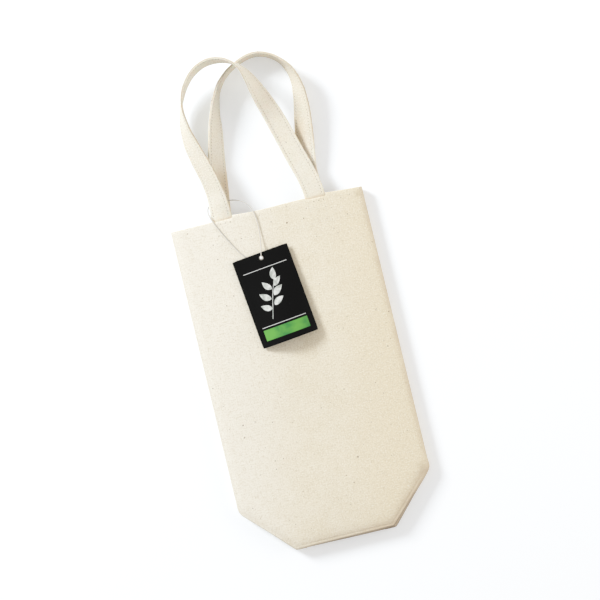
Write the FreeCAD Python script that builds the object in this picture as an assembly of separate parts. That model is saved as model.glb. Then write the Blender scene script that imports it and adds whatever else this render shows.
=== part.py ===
import FreeCAD, Part
import math
import os

from FreeCAD import Vector

# Cotton bottle bag lying flat on its back: X across, Y towards the mouth, Z up through the loft.
BAG_WIDTH = 180.0
BAG_LENGTH = 310.0
BASE_DEPTH = 88.0
LOFT = 14.0
CLOTH = 0.8
EDGE_ROLL = 6.5
CORNER_EASE = 1.5
HEM_DEPTH = 25.0
SEAM_ALLOWANCE = 8.0

STRAP_WIDTH = 19.0
STRAP_THICKNESS = 2.2
LEG_SPACING = 88.0
HANDLE_SHIFT = 2.4
HANDLE_REACH = 141.0
END_LENGTH = 24.0

CARD_WIDTH = 53.0
CARD_LENGTH = 84.0
CARD_THICKNESS = 0.5
CARD_TURN = 6.5
CARD_X = -14.7
CARD_BELOW_MOUTH = 42.5
HOLE_RADIUS = 2.2
HOLE_INSET = 5.0
STRING_DIAMETER = 0.9
STRANDS = 10
CRIMP_WIDTH = 3.6
CRIMP_LENGTH = 6.0
CRIMP_THICKNESS = 2.0

STITCH_LENGTH = 2.8
STITCH_PITCH = 4.0
THREAD = 0.45
STITCH_HEIGHT = 0.3

# Clearances between pieces that lie on each other.
FIT = 0.1
FOLD_GAP = 0.3
HINGE_GAP = 0.3
REST_GAP = 0.3
CROSS_GAP = 1.0
GROUND_GAP = 0.5

# Margin of the blocks that trim the panels to the mouth and to the seam.
TRIM = 5.0

mid = LOFT / 2
corner = BASE_DEPTH / 2
roll_radius = min(EDGE_ROLL, mid - 0.4)
fold_half = FOLD_GAP / 2 + CLOTH
mouth = BAG_LENGTH

# The straps are sewn in under the turned hems, front and back.
front_strap_z = LOFT - 2 * CLOTH - FIT - STRAP_THICKNESS / 2
back_strap_z = 2 * CLOTH + FIT + STRAP_THICKNESS / 2
back_crown_z = GROUND_GAP + STRAP_WIDTH / 2
front_crown_z = back_crown_z + STRAP_WIDTH + CROSS_GAP

# Loops, left to right: across in half leg spacings, out in reaches, rise from the leg's height
# to the crown's, roll of the strap in degrees. The front loop droops on the left and crosses the back one.
FRONT_LOOP = [
    (-1.00, 0.16, 0.15, 28), (-1.18, 0.42, 0.17, 44), (-1.30, 0.63, 0.16, 65),
    (-1.18, 0.84, 0.36, 86), (-0.86, 0.96, 0.66, 90), (-0.46, 1.00, 0.92, 90),
    (0.00, 0.95, 1.00, 82), (0.30, 0.79, 0.66, 44), (0.545, 0.58, 0.18, 20),
    (0.805, 0.29, 0.06, 12),
]
BACK_LOOP = [
    (-0.95, 0.16, 0.17, -10), (-0.84, 0.36, 0.64, -38), (-0.71, 0.55, 0.82, -54),
    (-0.56, 0.74, 0.91, -66), (-0.33, 0.88, 0.98, -80), (0.00, 0.96, 1.00, -89),
    (0.45, 1.00, 1.00, -90), (0.90, 0.94, 1.00, -88), (1.13, 0.83, 0.97, -75),
    (1.19, 0.70, 0.86, -58), (1.14, 0.53, 0.66, -38), (1.04, 0.33, 0.44, -24),
    (0.97, 0.15, 0.17, -9),
]

# Tag string: from the crimp up through the card, over the mouth, behind the leg and back under.
STRING_ROUTE = [
    (-14.1, -47.6, 1.3), (-14.4, -44.2, 1.5), (-14.6, -40.9, 4.0), (-13.2, -35.4, 3.9),
    (-11.2, -25.5, 1.1), (-10.3, -10.0, 1.0), (-11.6, 1.0, 1.1), (-16.4, 10.4, -1.2),
    (-26.5, 16.0, -4.7), (-39.5, 16.8, -6.4), (-49.5, 16.6, -7.0), (-53.2, 11.6, -5.2),
    (-51.6, 3.0, 0.6), (-46.6, -8.4, 1.1), (-39.4, -21.8, 1.0), (-31.6, -36.0, 1.0),
    (-24.0, -40.9, 1.0), (-17.2, -43.0, 1.15), (-15.3, -47.6, 1.3),
]


def box(x0, x1, y0, y1, z0, z1):
    return Part.makeBox(x1 - x0, y1 - y0, z1 - z0, Vector(x0, y0, z0))


def pillow(inset):
    half = BAG_WIDTH / 2 - inset
    step = inset * (math.sqrt(2) - 1)
    base = BAG_WIDTH / 2 - corner - step
    side = corner + step
    top = mouth + 2 * TRIM
    low, high = inset, LOFT - inset
    ring = [
        Vector(-base, inset, low), Vector(base, inset, low), Vector(half, side, low),
        Vector(half, top, low), Vector(-half, top, low), Vector(-half, side, low),
    ]
    block = Part.Face(Part.makePolygon(ring + ring[:1])).extrude(Vector(0, 0, high - low))
    upright = [
        e for e in block.Edges
        if abs(e.BoundBox.ZLength - (high - low)) < 0.01 and e.BoundBox.YMax < top - 1
    ]
    block = block.makeFillet(roll_radius + CORNER_EASE - inset, upright)
    rim = [e for e in block.Edges if e.BoundBox.ZLength < 0.01 and e.BoundBox.YMin < top - 1]
    return block.makeFillet(roll_radius - inset, rim)


# Boxed base: one cloth folded inwards as a hairpin between the two panels.
def hairpin(half_height, ridge):
    arc_y = ridge - half_height
    far = BAG_WIDTH
    slab = box(-far, far, -TRIM, arc_y, mid - half_height, mid + half_height)
    bend = Part.makeCylinder(half_height, 2 * far, Vector(-far, arc_y, mid), Vector(1, 0, 0))
    return slab.fuse(bend).removeSplitter()


outer = pillow(0)
lining = pillow(CLOTH)
room = pillow(2 * CLOTH)
fold = hairpin(fold_half, corner)
bottom_gusset = fold.cut(hairpin(FOLD_GAP / 2, corner - CLOTH)).common(outer)

hem_start = mouth - HEM_DEPTH
wide = BAG_WIDTH / 2 + TRIM
body = outer.cut(lining).common(box(-wide, wide, -TRIM, mouth, -TRIM, LOFT + TRIM))
hem = lining.cut(room).common(box(-wide, wide, hem_start, mouth, -TRIM, LOFT + TRIM))
body = body.fuse(hem).removeSplitter().cut(fold)
front_panel = body.common(box(-wide, wide, -TRIM, mouth, mid, LOFT + TRIM))
back_panel = body.common(box(-wide, wide, -TRIM, mouth, -TRIM, mid))


# Overlocked seam allowance: the raw edges of both panels, standing inside each side seam.
def side_seam(sign):
    wall = BAG_WIDTH / 2 - CLOTH - FIT
    x0, x1 = sorted((sign * wall, sign * (wall - SEAM_ALLOWANCE)))
    strip = box(x0, x1, corner + 3, hem_start - REST_GAP, mid - CLOTH, mid + CLOTH)
    inner = [e for e in strip.Edges if e.BoundBox.YLength > 50 and abs(e.CenterOfMass.x) < wall - 1]
    return strip.makeFillet(CLOTH * 0.6, inner)


def leg_x(sign):
    return HANDLE_SHIFT + sign * LEG_SPACING / 2


def strap_end(sign, centre_z):
    x = leg_x(sign)
    end = box(
        x - STRAP_WIDTH / 2, x + STRAP_WIDTH / 2, mouth - END_LENGTH, mouth,
        centre_z - STRAP_THICKNESS / 2, centre_z + STRAP_THICKNESS / 2,
    )
    return end.makeFillet(STRAP_THICKNESS * 0.3, [e for e in end.Edges if e.BoundBox.YLength > 5])


# One strap from leg to leg.
def strap_loop(stations, base_z, crown_z):
    points, angles = [], []
    for across, out, rise, roll in [(-1.0, 0.0, 0.0, 0)] + stations + [(1.0, 0.0, 0.0, 0)]:
        y = mouth + HINGE_GAP + out * (HANDLE_REACH - HINGE_GAP)
        z = base_z + rise * (crown_z - base_z)
        points.append(Vector(HANDLE_SHIFT + across * LEG_SPACING / 2, y, z))
        angles.append(roll)
    steps = [0.0]
    for a, b in zip(points, points[1:]):
        steps.append(steps[-1] + a.distanceToPoint(b))
    line = Part.BSplineCurve()
    line.interpolate(
        Points=points, Parameters=steps, Scale=False,
        InitialTangent=Vector(0, 1, 0), FinalTangent=Vector(0, -1, 0),
    )
    turn = Part.BSplineCurve()
    turn.interpolate(Points=[Vector(a, s, 0) for a, s in zip(angles, steps)], Parameters=steps)
    count = 36
    stops = [steps[-1] * i / count for i in range(count + 1)]
    rings = []
    for t in stops:
        ahead = line.tangent(t)[0]
        side = ahead.cross(Vector(0, 0, 1)).normalize()
        up = side.cross(ahead)
        angle = math.radians(turn.value(t).x)
        across = (side * math.cos(angle) + up * math.sin(angle)) * (STRAP_WIDTH / 2)
        through = (up * math.cos(angle) - side * math.sin(angle)) * (STRAP_THICKNESS / 2)
        c = line.value(t)
        rings.append([c + across + through, c + across - through, c - across - through, c - across + through])
    rails = []
    for k in range(4):
        rail = Part.BSplineCurve()
        rail.interpolate(Points=[ring[k] for ring in rings], Parameters=stops)
        rails.append(rail.toShape())
    faces = [Part.makeRuledSurface(rails[k], rails[(k + 1) % 4]) for k in range(4)]
    for ring in (rings[0], rings[-1]):
        faces.append(Part.Face(Part.makePolygon(ring + ring[:1])))
    shell = Part.makeShell(faces)
    shell.sewShape()
    solid = Part.makeSolid(shell)
    if solid.Volume < 0:
        solid.reverse()
    print("strap length %.1f" % line.length())
    return solid


def tube(route, diameter):
    points = [Vector(x, mouth + y, LOFT + z) for x, y, z in route]
    edges = []
    start = points[0]
    radii = []
    for before, here, after in zip(points, points[1:], points[2:]):
        a = (before - here).normalize()
        b = (after - here).normalize()
        turn = math.pi - a.getAngle(b)
        cut = 0.45 * min(here.distanceToPoint(before), here.distanceToPoint(after))
        radius = cut / math.tan(turn / 2)
        radii.append(round(radius, 1))
        middle = (a + b).normalize() * (radius / math.cos(turn / 2) - radius)
        edges.append(Part.makeLine(start, here + a * cut))
        edges.append(Part.Arc(here + a * cut, here + middle, here + b * cut).toShape())
        start = here + b * cut
    edges.append(Part.makeLine(start, points[-1]))
    path = Part.Wire(edges)
    ahead = (points[1] - points[0]).normalize()
    side = ahead.cross(Vector(0, 0, 1)).normalize() * (diameter / 2)
    up = side.cross(ahead)
    turns = [2 * math.pi * k / STRANDS for k in range(STRANDS + 1)]
    ring = Part.makePolygon([points[0] + side * math.cos(t) + up * math.sin(t) for t in turns])
    solid = path.makePipeShell([ring], True, False)
    print("string radii", min(radii), radii)
    ideal = Part.Face(ring).Area * path.Length
    print("string length %.1f volume %.2f of %.2f" % (path.Length, solid.Volume, ideal))
    return solid


def stitch_row(x0, y0, x1, y1, z, skip=None):
    length = math.hypot(x1 - x0, y1 - y0)
    count = max(1, int(length // STITCH_PITCH))
    angle = math.degrees(math.atan2(y1 - y0, x1 - x0))
    row = []
    for i in range(count):
        share = (i + 0.5) / count
        x = x0 + (x1 - x0) * share
        y = y0 + (y1 - y0) * share
        if skip and any(abs(x - s) < STRAP_WIDTH / 2 + STITCH_LENGTH / 2 + REST_GAP for s in skip):
            continue
        bar = box(-STITCH_LENGTH / 2, STITCH_LENGTH / 2, -THREAD / 2, THREAD / 2, 0, STITCH_HEIGHT)
        bar.rotate(Vector(0, 0, 0), Vector(0, 0, 1), angle)
        bar.translate(Vector(x, y, z))
        row.append(bar)
    return row


# Box of stitches holding one strap end; its cross stops short of the corners and of the middle.
def stitch_box(sign, z):
    x = leg_x(sign)
    half = STRAP_WIDTH / 2 - 2.5
    y0 = mouth - END_LENGTH + 4
    y1 = mouth - 3.5
    trim = THREAD + 0.2
    rows = stitch_row(x - half, y0, x + half, y0, z)
    rows += stitch_row(x - half, y1, x + half, y1, z)
    rows += stitch_row(x - half, y0 + trim, x - half, y1 - trim, z)
    rows += stitch_row(x + half, y0 + trim, x + half, y1 - trim, z)
    y_mid = (y0 + y1) / 2
    for across, out in ((-1, -1), (1, -1), (-1, 1), (1, 1)):
        far_x = x + across * (half - 1.2)
        far_y = y_mid + out * ((y1 - y0) / 2 - 1.6)
        near_x = x + across * 0.6
        near_y = y_mid + out * 0.9
        rows += stitch_row(far_x, far_y, near_x, near_y, z)
    return rows


hem_row_y = hem_start + 2
row_end = BAG_WIDTH / 2 - roll_radius - 2
legs = (leg_x(-1), leg_x(1))
front_hem_stitching = stitch_row(-row_end, hem_row_y, row_end, hem_row_y, LOFT)
back_hem_stitching = stitch_row(-row_end, hem_row_y, row_end, hem_row_y, 2 * CLOTH, legs)
front_box_stitching = stitch_box(-1, LOFT) + stitch_box(1, LOFT)
back_box_z = back_strap_z + STRAP_THICKNESS / 2
back_box_stitching = stitch_box(-1, back_box_z) + stitch_box(1, back_box_z)

# Swing tag lying on the crimp of its string, turned about its punched hole.
hole_y = mouth - CARD_BELOW_MOUTH
crimp_z = LOFT + REST_GAP
card_z = crimp_z + CRIMP_THICKNESS + REST_GAP
card = box(
    -CARD_WIDTH / 2, CARD_WIDTH / 2, HOLE_INSET - CARD_LENGTH, HOLE_INSET, 0, CARD_THICKNESS,
)
card = card.makeFillet(0.8, [e for e in card.Edges if e.BoundBox.ZLength > 0.1])
card = card.cut(Part.makeCylinder(HOLE_RADIUS, 4, Vector(0, 0, -2)))
card.rotate(Vector(0, 0, 0), Vector(0, 0, 1), CARD_TURN)
card.translate(Vector(CARD_X, hole_y, card_z))

crimp_top = mouth + STRING_ROUTE[0][1] - REST_GAP
crimp = box(
    CARD_X - CRIMP_WIDTH / 2, CARD_X + CRIMP_WIDTH / 2, crimp_top - CRIMP_LENGTH, crimp_top,
    crimp_z, crimp_z + CRIMP_THICKNESS,
)
crimp = crimp.makeFillet(0.6, [e for e in crimp.Edges if e.BoundBox.YLength > 2])

parts = {
    "front_panel": front_panel,
    "back_panel": back_panel,
    "bottom_gusset": bottom_gusset,
    "left_side_seam": side_seam(-1),
    "right_side_seam": side_seam(1),
    "front_handle": strap_loop(FRONT_LOOP, front_strap_z, front_crown_z),
    "front_handle_left_end": strap_end(-1, front_strap_z),
    "front_handle_right_end": strap_end(1, front_strap_z),
    "back_handle": strap_loop(BACK_LOOP, back_strap_z, back_crown_z),
    "back_handle_left_end": strap_end(-1, back_strap_z),
    "back_handle_right_end": strap_end(1, back_strap_z),
    "front_hem_stitching": Part.makeCompound(front_hem_stitching),
    "back_hem_stitching": Part.makeCompound(back_hem_stitching),
    "front_box_stitching": Part.makeCompound(front_box_stitching),
    "back_box_stitching": Part.makeCompound(back_box_stitching),
    "tag_card": card,
    "tag_string": tube(STRING_ROUTE, STRING_DIAMETER),
    "string_crimp": crimp,
}

# Origin: middle of the bag with its handles, on the ground.
string_side = ("tag_card", "tag_string", "string_crimp")
reach = Part.makeCompound([s for n, s in parts.items() if n not in string_side])
span = reach.optimalBoundingBox(False)
shift = Vector(-(span.XMin + span.XMax) / 2, -(span.YMin + span.YMax) / 2, -span.ZMin)
print("size %.2f %.2f %.2f shift %.3f %.3f %.3f" % (span.XLength, span.YLength, span.ZLength, *shift))

os.makedirs("parts", exist_ok=True)
for name, shape in parts.items():
    solids = [s.translated(shift) for s in shape.Solids]
    print(name, len(solids), all(s.isValid() for s in solids), "%.1f" % sum(s.Volume for s in solids))
    placed = solids[0] if len(solids) == 1 else Part.makeCompound(solids)
    placed.exportStep("parts/%s.step" % name)
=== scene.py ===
import math

import bpy
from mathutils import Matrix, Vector, noise


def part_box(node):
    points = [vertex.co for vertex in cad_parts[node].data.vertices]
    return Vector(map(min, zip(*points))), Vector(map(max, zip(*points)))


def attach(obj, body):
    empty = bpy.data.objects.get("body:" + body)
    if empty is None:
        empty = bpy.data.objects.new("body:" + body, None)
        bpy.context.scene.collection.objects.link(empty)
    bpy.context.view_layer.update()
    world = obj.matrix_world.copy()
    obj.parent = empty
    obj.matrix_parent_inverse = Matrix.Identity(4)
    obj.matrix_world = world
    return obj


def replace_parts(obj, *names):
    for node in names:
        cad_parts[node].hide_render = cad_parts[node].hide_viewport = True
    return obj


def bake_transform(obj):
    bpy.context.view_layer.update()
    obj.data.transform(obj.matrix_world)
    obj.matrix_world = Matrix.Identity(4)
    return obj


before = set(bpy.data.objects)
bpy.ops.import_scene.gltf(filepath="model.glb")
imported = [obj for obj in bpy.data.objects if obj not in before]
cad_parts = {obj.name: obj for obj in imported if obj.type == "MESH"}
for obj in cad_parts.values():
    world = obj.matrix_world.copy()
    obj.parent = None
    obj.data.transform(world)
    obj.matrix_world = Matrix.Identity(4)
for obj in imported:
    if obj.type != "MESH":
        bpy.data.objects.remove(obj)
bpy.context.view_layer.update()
mm = 0.001
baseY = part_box("front_panel")[0].y   # bottom fold of the bag in the frame
print("frame loaded, bottom fold at y", round(baseY, 5))

# Camera straight above, turned so that the bag leans as in the photo.
photoView = dict(place=(0.01062, -0.0042, 1.25), turn=-13.6, lens=81.0, sensor=36.0, near=0.01, far=20.0)


def linkUp(thing):
    bpy.context.scene.collection.objects.link(thing)
    return thing


def addCamera(v):
    lens = bpy.data.cameras.new("photoCamera")
    lens.lens, lens.sensor_width = v["lens"], v["sensor"]
    lens.clip_start, lens.clip_end = v["near"], v["far"]
    camera = linkUp(bpy.data.objects.new("photoCamera", lens))
    camera.location = v["place"]
    camera.rotation_euler = (0, 0, math.radians(v["turn"]))
    bpy.context.scene.camera = camera


addCamera(photoView)


# Small helpers for the node materials: a socket is linked, a number is set on the input.
def shader(name):
    mat = bpy.data.materials.new(name)
    mat.use_nodes = True
    return mat, mat.node_tree, mat.node_tree.nodes["Principled BSDF"]


def feed(tree, node, inputs):
    for key, value in inputs.items():
        if isinstance(value, bpy.types.NodeSocket):
            tree.links.new(value, node.inputs[key])
        else:
            node.inputs[key].default_value = value


def addNode(tree, kind, inputs=None, **settings):
    made = tree.nodes.new(kind)
    for key, value in settings.items():
        setattr(made, key, value)
    feed(tree, made, inputs or {})
    return made


def calc(tree, operation, *values):
    return addNode(tree, "ShaderNodeMath", dict(enumerate(values)), operation=operation).outputs[0]


def ramp(tree, value, low, high):
    made = addNode(
        tree, "ShaderNodeMapRange", {"Value": value, "From Min": low, "From Max": high},
        interpolation_type="SMOOTHSTEP",
    )
    return made.outputs[0]


def tint(tree, share, first, second):
    return addNode(tree, "ShaderNodeMix", {0: share, 6: first, 7: second}, data_type="RGBA").outputs[2]


def arrow(tree, operation, vector, other):
    return addNode(tree, "ShaderNodeVectorMath", {0: vector, 1: other}, operation=operation)


def cloud(tree, vector, scale, detail=2.0):
    made = addNode(tree, "ShaderNodeTexNoise", {"Vector": vector, "Scale": scale, "Detail": detail})
    return made.outputs[0]


def bumps(tree, height, distance, strength):
    made = addNode(
        tree, "ShaderNodeBump", {"Height": height, "Distance": distance, "Strength": strength}
    )
    return made.outputs[0]


def clothMap(tree, name):
    return addNode(tree, "ShaderNodeUVMap", uv_map=name).outputs[0]


def objectSpot(tree):
    return addNode(tree, "ShaderNodeTexCoord").outputs["Object"]


# A finish mottled between two colours, its roughness following the same cloud.
def mottled(name, first, second, scale, rough, detail=2.0, band=None, gloss=0.5, relief=None):
    mat, tree, surface = shader(name)
    haze = cloud(tree, objectSpot(tree), scale, detail)
    share = ramp(tree, haze, *band) if band else haze
    feed(tree, surface, {
        "Base Color": tint(tree, share, first, second), "Specular IOR Level": gloss,
        "Roughness": calc(tree, "MULTIPLY_ADD", haze, *rough),
    })
    if relief:
        feed(tree, surface, {"Normal": bumps(tree, haze, *relief)})
    return mat


# Undyed cotton canvas, woven along the "clothRun" map, which is in metres.
canvasLook = dict(
    pale=(0.815, 0.735, 0.575, 1), dull=(0.770, 0.680, 0.510, 1), blotch=45.0, blotchBand=(0.30, 0.72),
    # The paler and riper tints below, laid by the second number of the map, are painted light and painted
    # shade.
    litTint=(0.875, 0.825, 0.710, 1), litShare=0.80, shadedTint=(0.785, 0.675, 0.480, 1), shadedShare=0.90,
    slub=(0.560, 0.460, 0.295, 1), slubs=0.42, slubBand=(0.48, 0.78), warpShare=0.85,
    weft=(190, 900, 1), warp=(950, 150, 1), weftRise=2.2, warpRise=1.8,
    bright=(0.90, 0.85, 0.73, 1), fine=800.0, brightBand=(0.50, 0.72), brighten=0.72,
    shadeBand=(0.50, 0.28), shade=0.36, gapBand=(0.55, 0.05), gap=0.30,
    pitch=0.00066, wander=260.0, waver=2.2, crossing=0.9, relief=(0.00016, 0.75),
    fleck=(0.16, 0.085, 0.035, 1),   # seeds: cell, size, share of the cells, strength
    flecks=((0.0140, 0.055, 0.30, 0.75), (0.0096, 0.062, 0.24, 0.62), (0.0058, 0.085, 0.30, 0.45)),
    # The brown and the dark seam colour below are painted shade, the dark one as thin lines in the strap
    # groove and along the base edge.
    shadeBrown=(0.550, 0.430, 0.305, 1), lightShadePaint=0.80, shadePaintBand=(0.05, 0.65), markGrain=300.0,
    seam=(0.17, 0.125, 0.085, 1), shadeLineShare=0.70,
    rough=(0.12, 0.82), gloss=0.12, sheen=0.12, sheenRough=0.55,
    glow=0.0, glowReach=(1.0, 0.72, 0.50), glowDepth=0.002,   # light that soaks through the yarn
)


def seedFlecks(tree, run, cell, size, share):
    spots = addNode(
        tree, "ShaderNodeTexVoronoi",
        {"Vector": arrow(tree, "ADD", run, (cell * 7, cell * 3, 0)).outputs[0], "Scale": 1 / cell},
        voronoi_dimensions="2D",
    )
    pick = addNode(tree, "ShaderNodeSeparateColor", {0: spots.outputs["Color"]}).outputs
    width = calc(tree, "MULTIPLY", calc(tree, "MULTIPLY", pick[1], pick[2]), size * 1.25)
    inside = calc(tree, "LESS_THAN", spots.outputs["Distance"], width)
    return calc(tree, "MULTIPLY", inside, calc(tree, "LESS_THAN", pick[0], share))


def canvas(name, look, marks=(), lightShade=False):
    mat, tree, surface = shader(name)
    run = clothMap(tree, "clothRun")
    wander = cloud(tree, run, look["wander"])   # yarns are never quite straight
    axes = addNode(tree, "ShaderNodeSeparateXYZ", {0: run}).outputs
    sines, ridges = [], []
    for axis in (0, 1):
        turn = calc(tree, "MULTIPLY", axes[axis], math.pi / look["pitch"])
        sines.append(calc(tree, "SINE", calc(tree, "MULTIPLY_ADD", wander, look["waver"], turn)))
        ridges.append(calc(tree, "ABSOLUTE", sines[axis]))
    over = calc(tree, "MULTIPLY", *sines)
    weave = calc(tree, "MULTIPLY_ADD", over, look["crossing"], calc(tree, "ADD", *ridges))
    weft, warp = (
        cloud(tree, arrow(tree, "MULTIPLY", run, look[yarn]).outputs[0], 1.0, 3.0)
        for yarn in ("weft", "warp")
    )
    blotch = cloud(tree, run, look["blotch"], 4.0)
    fine = cloud(tree, run, look["fine"])

    layers = []   # where it shows, how strongly, in which colour
    if lightShade:   # first number of the map: painted shade, above one a painted dark line of shade; second: painted light below a half, painted shade above it
        lightShadePaint = addNode(tree, "ShaderNodeSeparateXYZ", {0: clothMap(tree, "paintedLightShade")}).outputs
        layers.append((ramp(tree, lightShadePaint[1], 0.5, 0.0), look["litShare"], "litTint"))
        layers.append((ramp(tree, lightShadePaint[1], 0.5, 1.0), look["shadedShare"], "shadedTint"))
    layers += [
        (ramp(tree, weft, *look["slubBand"]), look["slubs"], "slub"),
        (ramp(tree, warp, *look["slubBand"]), look["slubs"] * look["warpShare"], "slub"),
        (ramp(tree, fine, *look["brightBand"]), look["brighten"], "bright"),
        (ramp(tree, fine, *look["shadeBand"]), look["shade"], "slub"),
        (ramp(tree, weave, *look["gapBand"]), look["gap"], "slub"),
    ]
    for cell, size, share, strength in look["flecks"]:
        layers.append((seedFlecks(tree, run, cell, size, share), strength, "fleck"))
    for x, y, radius, strength in marks:   # faint darker spots at given places
        away = arrow(tree, "DISTANCE", run, (x, y, 0)).outputs["Value"]
        away = calc(tree, "MULTIPLY_ADD", cloud(tree, run, look["markGrain"]), radius, away)
        layers.append((ramp(tree, away, radius * 1.7, radius * 0.4), strength, "slub"))
    if lightShade:
        # painted shade: patchy brown, then a painted dark line of shade
        patchy = ramp(tree, blotch, *look["shadePaintBand"])
        paintedShade = calc(tree, "MULTIPLY", calc(tree, "MINIMUM", lightShadePaint[0], 1.0), patchy)
        layers.append((paintedShade, look["lightShadePaint"], "shadeBrown"))
        layers.append((ramp(tree, lightShadePaint[0], 1.0, 2.0), look["shadeLineShare"], "seam"))
    colour = tint(tree, ramp(tree, blotch, *look["blotchBand"]), look["pale"], look["dull"])
    for where, strength, shade in layers:
        colour = tint(tree, calc(tree, "MULTIPLY", where, strength), colour, look[shade])

    rise = calc(tree, "MULTIPLY_ADD", weft, look["weftRise"], weave)
    rise = calc(tree, "MULTIPLY_ADD", warp, look["warpRise"], rise)
    feed(tree, surface, {
        "Base Color": colour, "Normal": bumps(tree, rise, *look["relief"]),
        "Roughness": calc(tree, "MULTIPLY_ADD", fine, *look["rough"]), "Specular IOR Level": look["gloss"],
        "Sheen Weight": look["sheen"], "Sheen Roughness": look["sheenRough"],
        "Subsurface Weight": look["glow"], "Subsurface Radius": look["glowReach"],
        "Subsurface Scale": look["glowDepth"],
    })
    return mat


# Twisted thread and string: what all of it shares, then the colours and twist of one kind.
spinning = dict(
    waver=1.5, fuzz=700.0, fuzzShare=0.6, plyShare=0.3, relief=(0.00006, 0.5), rough=(0.2, 0.62), gloss=0.25,
)
threadLook = dict(pale=(0.80, 0.76, 0.665, 1), dull=(0.66, 0.60, 0.48, 1), twist=1500.0)


def spun(name, look):
    mat, tree, surface = shader(name)
    spot, s = objectSpot(tree), spinning
    ply = addNode(
        tree, "ShaderNodeTexWave", {"Vector": spot, "Scale": look["twist"], "Distortion": s["waver"]},
        bands_direction="DIAGONAL",
    ).outputs[1]
    fuzz = cloud(tree, spot, s["fuzz"])
    share = calc(tree, "MULTIPLY_ADD", fuzz, s["fuzzShare"], calc(tree, "MULTIPLY", ply, s["plyShare"]))
    feed(tree, surface, {
        "Base Color": tint(tree, share, look["pale"], look["dull"]),
        "Normal": bumps(tree, ply, *s["relief"]),
        "Roughness": calc(tree, "MULTIPLY_ADD", fuzz, *s["rough"]), "Specular IOR Level": s["gloss"],
    })
    return mat


panelMarks = ((0.085, 0.304, 0.004, 0.5), (0.083, 0.048, 0.004, 0.45))   # x, y, radius, strength
# The strap's riper tint and its brown below are painted shade.
strapLook = dict(
    canvasLook, pale=(0.835, 0.785, 0.660, 1), dull=(0.800, 0.745, 0.610, 1), shadedTint=(0.670, 0.605, 0.480, 1),
    shadeBrown=(0.560, 0.400, 0.235, 1), glow=0.25, glowDepth=0.0028, slubs=0.20,
)
# The needle holes' dark colour below is painted shade.
needleLook = dict(pale=(0.34, 0.26, 0.165, 1), dull=(0.23, 0.165, 0.095, 1), twist=1500.0)
panelCloth = canvas("panelCanvas", canvasLook, marks=panelMarks, lightShade=True)
strapCloth = canvas("strapCanvas", strapLook, lightShade=True)
liningCloth = canvas("insideCanvas", dict(canvasLook, pale=(0.75, 0.66, 0.50, 1)))
seamThread = spun("seamThread", threadLook)
needleShade = spun("needleShade", needleLook)
print("cloth and thread finishes ready")


# Points are kept in millimetres: x across, y from the bottom fold, z up.
def place(p):
    return Vector((p[0] * mm, baseY + p[1] * mm, p[2] * mm))


def meshPiece(name, points, faces, finish, runs=None, second=None, lightShade=None):
    mesh = bpy.data.meshes.new(name)
    mesh.from_pydata([place(p) for p in points], [], faces)
    if runs:
        layer = mesh.uv_layers.new(name="clothRun")
        for loop in mesh.loops:
            u, v = runs[loop.vertex_index]
            layer.data[loop.index].uv = (u * mm, v * mm)
    if lightShade:
        layer = mesh.uv_layers.new(name="paintedLightShade")
        for loop in mesh.loops:
            layer.data[loop.index].uv = lightShade[loop.vertex_index]
    mesh.polygons.foreach_set("use_smooth", [True] * len(mesh.polygons))
    mesh.materials.append(finish)
    if second:   # the last faces take a second finish
        mesh.materials.append(second[0])
        for face in mesh.polygons[second[1]:]:
            face.material_index = 1
    mesh.validate()
    return linkUp(bpy.data.objects.new(name, mesh))


def thicken(piece, thickness):
    shell = piece.modifiers.new("clothThickness", "SOLIDIFY")
    shell.thickness = thickness * mm
    shell.offset = 0.0
    shell.use_even_offset = False
    return shell


def gridFaces(rows, wide, first=0):
    starts = [first + i * wide + j for i in range(rows - 1) for j in range(wide - 1)]
    return [(a, a + 1, a + wide + 1, a + wide) for a in starts]


# A run of rings, closed at both ends.
def ringFaces(rings, sides, first=0):
    faces = []
    for start in range(first, first + (rings - 1) * sides, sides):
        for k in range(sides):
            a, b = start + k, start + (k + 1) % sides
            faces.append((a, b, b + sides, a + sides))
    last = first + (rings - 1) * sides
    return faces + [tuple(range(first, first + sides))[::-1], tuple(range(last, last + sides))]


# The same face seen from its other side, from the same first corner.
def turnedOver(face):
    return face[:1] + face[:0:-1]


def smooth(low, high, value):
    t = min(1.0, max(0.0, (value - low) / (high - low)))
    return t * t * (3 - 2 * t)


def mixed(a, b, share):
    return a + (b - a) * share


# The tag's string: control points from the sleeve, through the card, round the leg and back.
stringRun = dict(
    diameter=0.9, length=175.8, mouth=310.0, loft=14.0,
    # The grey below is painted shade: the string itself is white, as the knot shows.
    pale=(0.62, 0.59, 0.54, 1), dull=(0.42, 0.39, 0.34, 1), twist=1100.0,
    route=(
        (-14.1, -47.6, 1.3), (-14.4, -44.2, 1.5), (-14.6, -40.9, 4.0), (-13.2, -35.4, 4.1),
        (-11.2, -25.5, 1.6), (-10.3, -10.0, 1.0), (-11.6, 1.0, 1.1), (-16.4, 10.4, -1.2),
        (-26.5, 16.0, -4.7), (-39.5, 16.8, -6.4), (-49.5, 16.6, -7.0), (-53.2, 11.6, -5.2),
        (-51.6, 3.0, 0.6), (-46.6, -8.4, 1.1), (-39.4, -21.8, 1.0), (-31.6, -36.0, 1.0),
        (-24.0, -40.9, 1.0), (-17.2, -43.0, 1.15), (-15.3, -47.6, 1.3),
    ),
)


def stringSpot(s, point):
    x, y, z = point
    return place((x, s["mouth"] + y, s["loft"] + z))


def addString(s):
    line = bpy.data.curves.new("tagLoopString", "CURVE")
    line.dimensions = "3D"
    line.bevel_depth = s["diameter"] / 2 * mm
    line.bevel_resolution = 3
    line.use_fill_caps = True
    line.resolution_u = 10
    run = line.splines.new("NURBS")
    run.points.add(len(s["route"]) - 1)
    for point, spot in zip(run.points, s["route"]):
        point.co = (*stringSpot(s, spot), 1)
    run.order_u = 3
    run.use_endpoint_u = True
    return linkUp(bpy.data.objects.new("tag_loop_string", line))


stringPiece = addString(stringRun)
print("string laid")

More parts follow.
